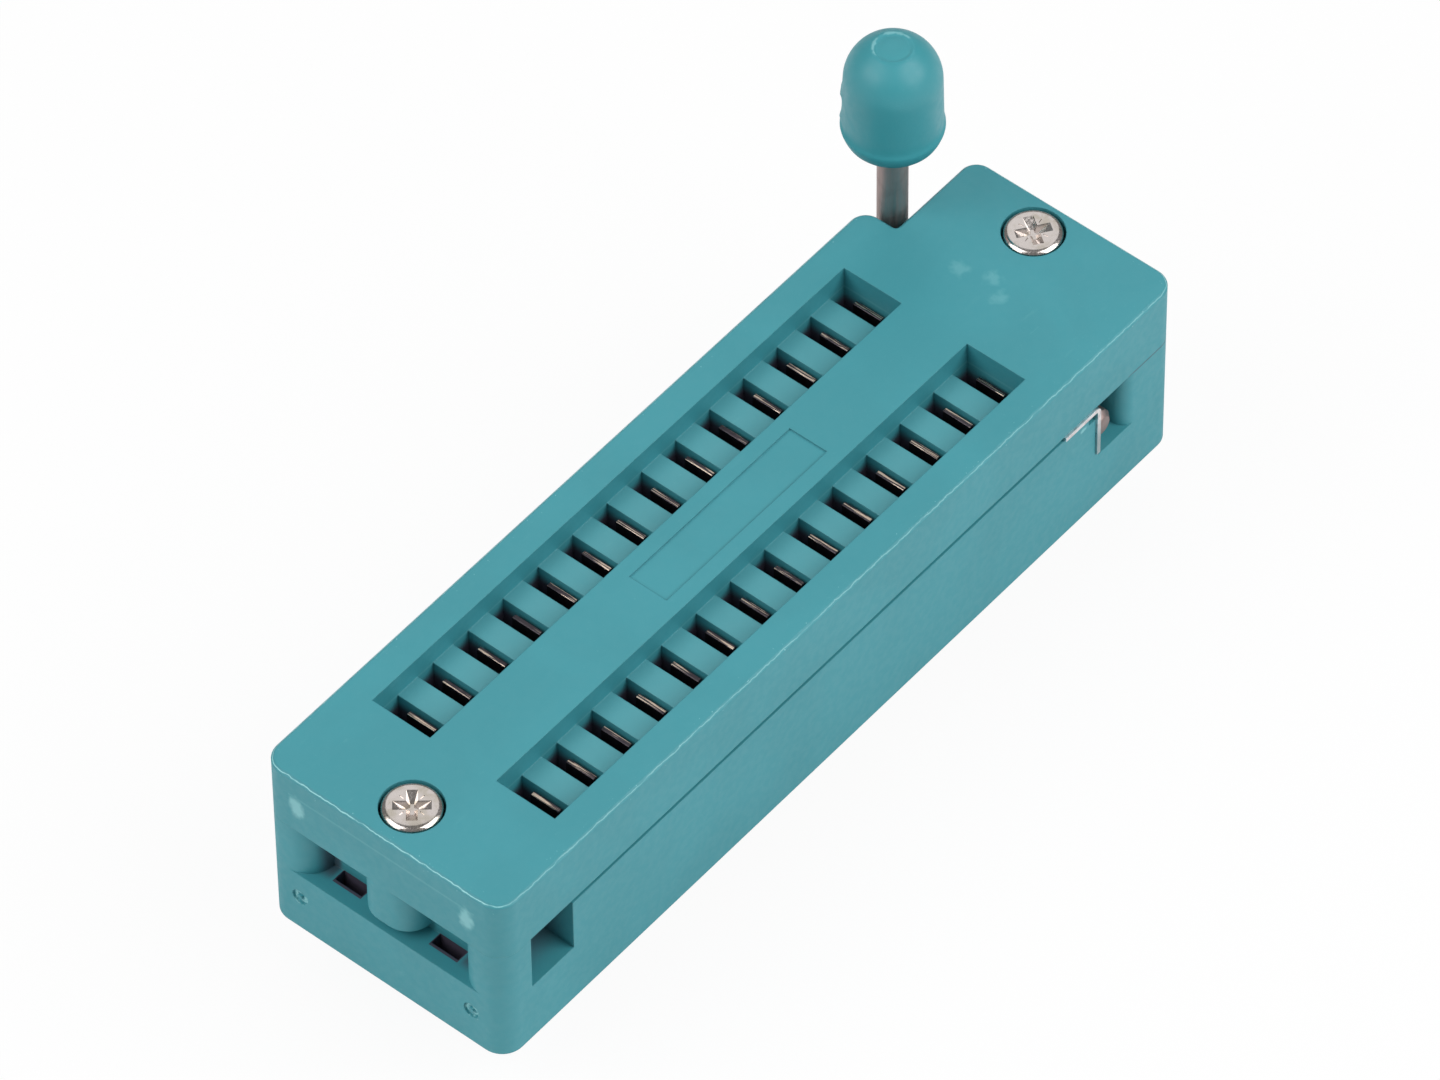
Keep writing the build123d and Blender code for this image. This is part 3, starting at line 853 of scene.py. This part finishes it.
@dataclass
class Studio:
    """Camera, lamps, world and floor."""

    azimuth: float = -0.868322
    elevation: float = 0.872073
    roll: float = -0.01185
    distance: float = 572.26
    lens: float = 297.67
    sensor: float = 36.0
    clip: Pair = (10.0, 20000.0)
    aim: Triple = (1.46, 0.0, 0.0)
    aim_right: float = -0.396
    aim_up: float = 5.978
    lamps: tuple[Lamp, ...] = (
        Lamp("lamp_back", (221, 187, 345), 400, 0.34),
        Lamp("lamp_right", (114, -309, 307), 360, 1.5),
        Lamp("lamp_left", (-285, 163, 307), 360, 1.18))
    around: float = 0.2
    floor_z: float = -3.3
    floor_half: float = 900.0
    floor_glow: float = 0.93
    floor_dim: Colour = (0.86, 0.86, 0.86, 1)
    floor_bright: Colour = (0.9, 0.9, 0.9, 1)
    floor_cloud_scale: float = 0.01
    floor_roughness: float = 0.9

    def camera(self) -> None:
        """Place the camera where the photograph was taken from."""
        back = Vector((math.sin(self.azimuth) * math.cos(self.elevation),
                       -math.cos(self.azimuth) * math.cos(self.elevation),
                       math.sin(self.elevation)))
        right = Vector((0, 0, 1)).cross(back).normalized()
        up = back.cross(right)
        turned_right = right * math.cos(self.roll) + up * math.sin(self.roll)
        turned_up = up * math.cos(self.roll) - right * math.sin(self.roll)
        target = Vector(self.aim) + turned_right * self.aim_right + turned_up * self.aim_up
        data = bpy.data.cameras.new("camera")
        data.lens = self.lens
        data.sensor_width = self.sensor
        data.sensor_fit = "HORIZONTAL"
        data.clip_start, data.clip_end = (end * MM for end in self.clip)
        camera = new_object("camera", data)
        turn = Matrix((turned_right, turned_up, back)).transposed().to_4x4()
        camera.matrix_world = Matrix.Translation((target + back * self.distance) * MM) @ turn
        bpy.context.scene.camera = camera

    def world(self) -> None:
        """Light from all round at a plain level, with white behind the part."""
        world = bpy.data.worlds.new("world")
        world.use_nodes = True
        bpy.context.scene.world = world
        nodes, links = world.node_tree.nodes, world.node_tree.links
        background = nodes["Background"]
        background.inputs["Color"].default_value = (1, 1, 1, 1)
        rays = nodes.new("ShaderNodeLightPath")
        level = nodes.new("ShaderNodeMapRange")
        links.new(rays.outputs["Is Camera Ray"], level.inputs["Value"])
        level.inputs["To Min"].default_value = self.around
        level.inputs["To Max"].default_value = 1.0
        links.new(level.outputs["Result"], background.inputs["Strength"])

    def floor(self) -> None:
        """Lay the pale floor that the contacts' tails stand on."""
        mesh = bmesh.new()
        bmesh.ops.create_grid(mesh, x_segments=1, y_segments=1, size=self.floor_half * MM)
        bmesh.ops.translate(mesh, verts=mesh.verts, vec=(0, 0, self.floor_z * MM))
        data = bpy.data.meshes.new("floor")
        mesh.to_mesh(data)
        mesh.free()
        floor = new_object("floor", data)
        graph = ShaderGraph("floor_white")
        tint = graph.mix(graph.noise(self.floor_cloud_scale, 3), self.floor_dim,
                         self.floor_bright)
        graph.finish(tint, self.floor_roughness)
        glow = graph.node("ShaderNodeEmission")
        glow.inputs["Color"].default_value = (1, 1, 1, 1)
        rays = graph.node("ShaderNodeLightPath")
        share = graph.math("MULTIPLY", rays.outputs["Is Camera Ray"], self.floor_glow)
        blend = graph.node("ShaderNodeMixShader")
        graph.join(share, blend.inputs["Fac"])
        graph.join(graph.shader.outputs[0], blend.inputs[1])
        graph.join(glow.outputs[0], blend.inputs[2])
        output = next(n for n in graph.tree.nodes if n.type == "OUTPUT_MATERIAL")
        graph.join(blend.outputs[0], output.inputs["Surface"])
        data.materials.append(graph.material)

    def build(self) -> None:
        """Set up the whole studio."""
        bpy.context.scene.view_settings.view_transform = "Standard"
        self.camera()
        self.world()
        for lamp in self.lamps:
            lamp.hang()
        self.floor()


@dataclass
class Housing(Dresser):
    """Cover and base, and the strip clamped between them."""

    plastic: HousingPlastic = HousingPlastic(
        "housing_green", (0.052, 0.3, 0.35), grain_depth=0.0015, scuffs=0.12)
    strip_metal: StripMetal = StripMetal(
        "strip_bright", (0.92, 0.87, 0.87), (0.66, 0.6, 0.6), 0.34, Axis.Y, 0.8,
        edge_radius=0.02, patch_scale=2.6)

    def build(self) -> None:
        """Dress the housing's nodes."""
        plastic = self.plastic.material()
        strip = self.strip_metal.material()
        for node, slot, material in (("cover", Slot.HOUSING, plastic),
                                     ("base", Slot.HOUSING, plastic),
                                     ("cam_strip", Slot.STRIP, strip)):
            self.dressed_copy(node, f"{node}_dressed", "housing", slot, material)


@dataclass
class Comb(Dresser):
    """Sliding comb inside the housing."""

    plastic: MouldedPlastic = MouldedPlastic("comb_green", (0.045, 0.262, 0.3))

    def build(self) -> None:
        """Dress the comb."""
        self.dressed_copy("shuttle", "shuttle_dressed", "comb", Slot.COMB,
                          self.plastic.material())


@dataclass
class Lever(Dresser):
    """Bent rod and its moulded knob."""

    arm_x: float = 21.61
    arm_y: float = 6.3
    bottom: float = 16.15
    foot: Outline = (
        (1.7, 0.0), (2.0, 0.04), (2.17, 0.14), (2.33, 0.34), (2.44, 0.58), (2.53, 0.85),
        (2.557, 1.0), (2.55, 1.12), (2.51, 1.2), (2.48, 1.34))
    dome_radius: float = 2.42
    dome_z: float = 20.3
    dome_steps: int = 16
    flat_radius: float = 1.0
    mark: Outline = (
        (0.95, 0.0), (0.88, 0.05), (0.74, 0.05), (0.66, 0.015), (0.3, 0.005))
    bore_radius: float = 0.785
    grip: float = 3.85
    turns: int = 96
    side_length: float = 1.2
    side_cuts: int = 10
    knob_sharp: float = 50.0
    flash_angle: float = 130.3
    flash_from: float = 2.2
    flash_radius: float = 2.5
    flash_spread: Pair = (0.22, 0.25)
    flash: Outline = ((17.72, 0.1), (19.3, 0.1), (19.7, 0.08))
    steel: WorkedMetal = WorkedMetal(
        "rod_dull", (0.44, 0.34, 0.325), (0.3, 0.22, 0.205), 0.5, Axis.Z, 0.35)
    plastic: KnobPlastic = KnobPlastic(
        "knob_green", (0.046, 0.295, 0.34), 0.44, 0.03, 0.004, 0.05, 0.15)

    def profile(self) -> list[Pair]:
        """Give the knob's outline as radius and height, from the bore to the top.

        Returns:
            The points in order.
        """
        points = [(self.bore_radius, self.bottom + self.grip), (self.bore_radius, self.bottom)]
        points += [(radius, self.bottom + rise) for radius, rise in self.foot]
        start = math.asin(self.flat_radius / self.dome_radius)
        for step in range(self.dome_steps + 1):
            angle = math.pi / 2 + (start - math.pi / 2) * step / self.dome_steps
            points.append((self.dome_radius * math.sin(angle),
                           self.dome_z + self.dome_radius * math.cos(angle)))
        top = points[-1][1]
        return points + [(radius, top - drop) for radius, drop in self.mark]

    def raise_flash(self, mesh: Mesh) -> None:
        """Raise the small bumps that the mould's parting line left on one side.

        Args:
            mesh: The knob.
        """
        middle = Vector((self.arm_x, self.arm_y)) * MM
        angle = math.radians(self.flash_angle)
        for vert in mesh.verts:
            out = vert.co.xy - middle
            if out.length < self.flash_from * MM:
                continue
            turn = out.angle_signed(Vector((math.cos(angle), math.sin(angle))), 0.0)
            for height, rise in self.flash:
                apart = math.hypot(turn * self.flash_radius / self.flash_spread[0],
                                   (vert.co.z / MM - height) / self.flash_spread[1])
                out *= 1 + rise / self.flash_radius * math.exp(-apart * apart)
            vert.co.xy = middle + out

    def knob(self) -> None:
        """Spin the knob about the arm."""
        mesh = bmesh.new()
        verts = [mesh.verts.new((self.arm_x * MM + r * MM, self.arm_y * MM, z * MM))
                 for r, z in self.profile()]
        edges = [mesh.edges.new(pair) for pair in zip(verts, verts[1:])]
        side = [edge for edge in edges if edge.calc_length() > self.side_length * MM]
        bmesh.ops.subdivide_edges(mesh, edges=side, cuts=self.side_cuts)
        centre = Vector((self.arm_x, self.arm_y, 0)) * MM
        bmesh.ops.spin(mesh, geom=mesh.verts[:] + mesh.edges[:], cent=centre, axis=(0, 0, 1),
                       angle=math.tau, steps=self.turns, use_merge=True)
        self.raise_flash(mesh)
        rims = [edge for edge in mesh.edges if edge.is_boundary]
        bmesh.ops.holes_fill(mesh, edges=rims, sides=self.turns)
        made = self.piece(mesh, "knob_moulded", "lever", Slot.KNOB, self.plastic.material(),
                          self.knob_sharp)
        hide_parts("lever_knob")

    def build(self) -> None:
        """Make the lever's pieces."""
        self.dressed_copy("lever_rod", "rod_dressed", "lever", Slot.LEVER,
                          self.steel.material())
        self.knob()


@dataclass
class CoverScrews(Dresser):
    """Pan-head screws with a cross recess and small strokes between its arms."""

    places: dict[str, Pair] = field(default_factory=lambda: {
        "cover_screw_near": (-21.39, 40.0), "cover_screw_far": (24.66, 55.0)})
    top_z: float = 11.2
    face_radius: float = 1.0
    arm_half_width: float = 0.27
    arm_reach: float = 0.92
    recess_depth: float = 0.32
    recess_taper: float = 0.34
    stroke_half_width: float = 0.025
    stroke_from: float = 0.55
    stroke_to: float = 0.82
    stroke_depth: float = 0.05
    rim: Outline = (
        (1.2, 0.01), (1.31, 0.04), (1.4, 0.1), (1.46, 0.18), (1.485, 0.27), (1.487, 0.4),
        (1.487, 1.45), (1.46, 1.5), (0.85, 1.5))
    thread_pitch: float = 0.5
    thread_depth: float = 0.12
    thread_form: Outline = ((0.0, 0.0), (0.35, 1.0), (0.65, 1.0))
    thread_ends: Pair = (0.15, 0.1)
    shank_radius: float = 0.85
    tip: Outline = ((0.8, 8.8), (0.48, 9.18), (0.2, 9.2))
    segments: int = 64
    screw_sharp: float = 20.0
    cut_snap: float = 1e-6
    metal: WorkedMetal = WorkedMetal(
        "screw_zinc", (0.72, 0.66, 0.63), (0.5, 0.45, 0.36), 0.2, Axis.Z, 0.6,
        patch_scale=1.3, grain_depth=0.0)

    def cut(self, mesh: Mesh, angle: float, offset: float) -> None:
        """Cut the head's face along a straight line on both sides of its middle.

        Args:
            mesh: The face's disc, about the origin.
            angle: Direction of the line's normal in degrees.
            offset: Distance of the line from the middle.
        """
        normal = Vector((math.cos(math.radians(angle)), math.sin(math.radians(angle)), 0))
        for side in (-1, 1):
            bmesh.ops.bisect_plane(mesh, geom=mesh.verts[:] + mesh.edges[:] + mesh.faces[:],
                                   dist=self.cut_snap * MM, plane_no=normal,
                                   plane_co=normal * offset * side * MM)

    def sink(self, mesh: Mesh, faces: list, depth: float, taper: float) -> None:
        """Push faces down into the head.

        Args:
            mesh: The head.
            faces: The faces.
            depth: How deep they go.
            taper: How much of their size is left at the bottom.
        """
        moved = bmesh.ops.extrude_face_region(mesh, geom=faces)["geom"]
        left = [item for item in faces if item.is_valid]
        bmesh.ops.delete(mesh, geom=left, context="FACES")
        verts = verts_of(moved)
        bmesh.ops.scale(mesh, verts=verts, vec=(taper, taper, 1))
        bmesh.ops.translate(mesh, verts=verts, vec=(0, 0, -depth * MM))

    def face(self, mesh: Mesh) -> None:
        """Make the flat of the head with the recess and the strokes sunk into it.

        Args:
            mesh: The empty mesh.
        """
        bmesh.ops.create_circle(mesh, cap_ends=True, segments=self.segments,
                                radius=self.face_radius * MM)
        for angles, offsets in (
                ((0, 90), (self.arm_half_width, self.arm_reach)),
                ((45, 135), (self.stroke_half_width, self.stroke_from, self.stroke_to))):
            for angle in angles:
                for offset in offsets:
                    self.cut(mesh, angle, offset)
        for vert in mesh.verts:
            if vert.is_boundary:
                vert.co = vert.co.normalized() * self.face_radius * MM
        arms, strokes = [], []
        turned = Matrix.Rotation(math.radians(45), 3, "Z")
        for item in mesh.faces:
            place = item.calc_center_median() / MM
            short, long = sorted((abs(place.x), abs(place.y)))
            if short < self.arm_half_width and long < self.arm_reach:
                arms.append(item)
                continue
            place = turned @ place
            short, long = sorted((abs(place.x), abs(place.y)))
            if short < self.stroke_half_width and self.stroke_from < long < self.stroke_to:
                strokes.append(item)
        self.sink(mesh, strokes, self.stroke_depth, 1.0)
        self.sink(mesh, arms, self.recess_depth, self.recess_taper)

    def outline(self) -> list[Pair]:
        """Give the outline from the head's face to the tip, as radius and drop.

        Returns:
            The points in order.
        """
        points = list(self.rim)
        start = self.rim[-1][1] + self.thread_ends[0]
        end = self.tip[0][1] - self.thread_ends[1]
        rings = int((end - start) / self.thread_pitch)
        for ring in range(rings):
            for share, depth in self.thread_form:
                points.append((self.shank_radius - depth * self.thread_depth,
                               start + (ring + share) * self.thread_pitch))
        return points + list(self.tip)

    def screw(self, node: str, middle_x: float, turn: float,
              material: bpy.types.Material) -> None:
        """Make one screw, drawing its rim down the outline.

        Args:
            node: The CAD node that it stands for.
            middle_x: Place of its axis along X.
            turn: How far the recess is turned, in degrees.
            material: Its metal.
        """
        mesh = bmesh.new()
        self.face(mesh)
        rim = [edge for edge in mesh.edges if edge.is_boundary]
        radius, drop = self.face_radius, 0.0
        for next_radius, next_drop in self.outline():
            moved = bmesh.ops.extrude_edge_only(mesh, edges=rim)["geom"]
            verts = verts_of(moved)
            rim = [item for item in moved if isinstance(item, bmesh.types.BMEdge)]
            size = next_radius / radius
            bmesh.ops.scale(mesh, verts=verts, vec=(size, size, 1))
            bmesh.ops.translate(mesh, verts=verts, vec=(0, 0, (drop - next_drop) * MM))
            radius, drop = next_radius, next_drop
        bmesh.ops.holes_fill(mesh, edges=rim, sides=0)
        bmesh.ops.rotate(mesh, verts=mesh.verts, cent=(0, 0, 0),
                         matrix=Matrix.Rotation(math.radians(turn), 3, "Z"))
        bmesh.ops.translate(mesh, verts=mesh.verts, vec=(middle_x * MM, 0, self.top_z * MM))
        made = self.piece(mesh, f"{node}_turned", "housing", Slot.SCREW, material,
                          self.screw_sharp)
        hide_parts(node)

    def build(self) -> None:
        """Make both screws."""
        metal = self.metal.material()
        for node, (middle_x, turn) in self.places.items():
            self.screw(node, middle_x, turn, metal)


@dataclass
class Contacts(Dresser):
    """Stamped contacts: a fixed leaf with its bend and tail, and a spring leaf."""

    pitch: float = 2.54
    per_row: int = 14
    row_spacing: float = 7.62
    thickness: float = 0.25
    width: float = 1.7
    fixed_x: float = -0.625
    spring_x: float = 0.225
    bend_z: float = 2.2
    fixed_top: float = 8.4
    spring_top: float = 9.55
    wipe_z: float = 8.25
    wipe_reach: float = 0.14
    wipe_half_span: float = 0.75
    tail_width: float = 0.5
    tail_bottom: float = -3.3
    bends_from: float = 2.3
    bends_to: float = 6.2
    edge_break: float = 0.05
    leaf_taper: float = 0.025
    end_height: float = 0.1
    end_degrees: float = 60.0
    tail_overlap: float = 0.05
    tail_break: float = 0.06
    bend_steps: int = 12
    wipe_steps: int = 8
    # Near-black metal: painted shade of the deep slots; only the tail's tin is the metal's own
    # colour.
    metal: ContactMetal = ContactMetal(
        "contact_tin_painted_shade", (0.08, 0.068, 0.078), (0.05, 0.043, 0.05), 0.4, Axis.Z, 0.7,
        patch_scale=1.3)

    def ribbon(self, points: list[Vector], middle: Vector) -> Mesh:
        """Make a strip of sheet that follows points in its own XZ plane.

        Args:
            points: Places on the strip's middle, in millimetres from the slot's.
            middle: Place of the slot's middle.

        Returns:
            The closed mesh in metres.
        """
        mesh = bmesh.new()
        shift = middle - Vector((0, self.width / 2, 0))
        verts = [mesh.verts.new((point + shift) * MM) for point in points]
        edges = [mesh.edges.new(pair) for pair in zip(verts, verts[1:])]
        moved = bmesh.ops.extrude_edge_only(mesh, edges=edges)["geom"]
        bmesh.ops.translate(mesh, verts=verts_of(moved), vec=(0, self.width * MM, 0))
        bmesh.ops.recalc_face_normals(mesh, faces=mesh.faces)
        mesh.normal_update()
        half = self.thickness / 2 * MM
        for vert, normal in [(vert, vert.normal.copy()) for vert in mesh.verts]:
            vert.co += normal * half
        bmesh.ops.solidify(mesh, geom=mesh.faces[:], thickness=2 * half)
        bmesh.ops.recalc_face_normals(mesh, faces=mesh.faces)
        return mesh

    def break_edges(self, mesh: Mesh, top: float, size: float) -> None:
        """Take the sharpness off the edges of a leaf's upper end.

        Args:
            mesh: The leaf.
            top: Height of its end.
            size: How far the edges are cut back.
        """
        above = (top - self.end_height) * MM
        edges = [edge for edge in mesh.edges
                 if min(vert.co.z for vert in edge.verts) > above
                 and edge.calc_face_angle(0) > math.radians(self.end_degrees)]
        cut_edges(mesh, edges, size)

    def fixed_part(self, middle: Vector) -> Mesh:
        """Make the fixed leaf, the bend and the tail below it.

        Args:
            middle: Place of the slot's middle.

        Returns:
            The mesh.
        """
        points = [Vector((self.fixed_x, 0, self.fixed_top))]
        centre = (self.fixed_x + self.spring_x) / 2
        radius = (self.spring_x - self.fixed_x) / 2
        for step in range(self.bend_steps + 1):
            angle = math.pi * step / self.bend_steps
            points.append(Vector((centre - radius * math.cos(angle), 0,
                                  self.bend_z - radius * math.sin(angle))))
        mesh = self.ribbon(points, middle)
        self.break_edges(mesh, self.fixed_top, self.edge_break)
        tail = bmesh.ops.create_cube(mesh, size=MM)["verts"]
        top = self.bend_z - self.tail_overlap
        size = (self.thickness, self.tail_width, top - self.tail_bottom)
        bmesh.ops.scale(mesh, verts=tail, vec=size)
        place = middle + Vector((self.fixed_x, 0, (top + self.tail_bottom) / 2))
        bmesh.ops.translate(mesh, verts=tail, vec=place * MM)
        foot = {vert for vert in tail if vert.co.z < 0}
        edges = [edge for edge in mesh.edges if foot.issuperset(edge.verts)]
        cut_edges(mesh, edges, self.tail_break)
        return mesh

    def spring_part(self, middle: Vector) -> Mesh:
        """Make the spring leaf that the comb bends.

        Args:
            middle: Place of the slot's middle.

        Returns:
            The mesh.
        """
        low = self.wipe_z - self.wipe_half_span
        rise = (low - self.bend_z) / self.bend_steps
        points = [Vector((self.spring_x, 0, self.bend_z + rise * step))
                  for step in range(self.bend_steps + 1)]
        for step in range(1, self.wipe_steps + 1):
            share = step / self.wipe_steps
            reach = self.wipe_reach * (1 - math.cos(math.tau * share)) / 2
            points.append(Vector((self.spring_x - reach, 0,
                                  low + 2 * self.wipe_half_span * share)))
        points.append(Vector((self.spring_x, 0, self.spring_top)))
        mesh = self.ribbon(points, middle)
        self.break_edges(mesh, self.spring_top, self.leaf_taper)
        return mesh

    def places(self) -> list[Vector]:
        """Give the slots' middles, numbered round the socket as a chip's legs are.

        Returns:
            The places in order.
        """
        start = -(self.per_row - 1) / 2 * self.pitch
        row = [start + self.pitch * step for step in range(self.per_row)]
        half = self.row_spacing / 2
        return ([Vector((x, -half, 0)) for x in row]
                + [Vector((x, half, 0)) for x in reversed(row)])

    def build(self) -> None:
        """Make every contact."""
        metal = self.metal.material()
        for number, middle in enumerate(self.places(), start=1):
            node = f"contact_{number:02d}"
            fixed = self.piece(self.fixed_part(middle), f"{node}_fixed", "housing",
                               Slot.CONTACT, metal)
            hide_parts(node)
            spring = self.piece(self.spring_part(middle), f"{node}_spring", "",
                                Slot.CONTACT, metal)
            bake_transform(spring)


def main() -> None:
    """Build the studio and the dressed part."""
    logging.basicConfig(level=logging.INFO, format="%(name)s: %(message)s")
    for assembly in (Studio(), Housing(), Comb(), Lever(), CoverScrews(), Contacts()):
        log.info("building %s", type(assembly).__name__)
        assembly.build()


if __name__ == "__main__":
    main()
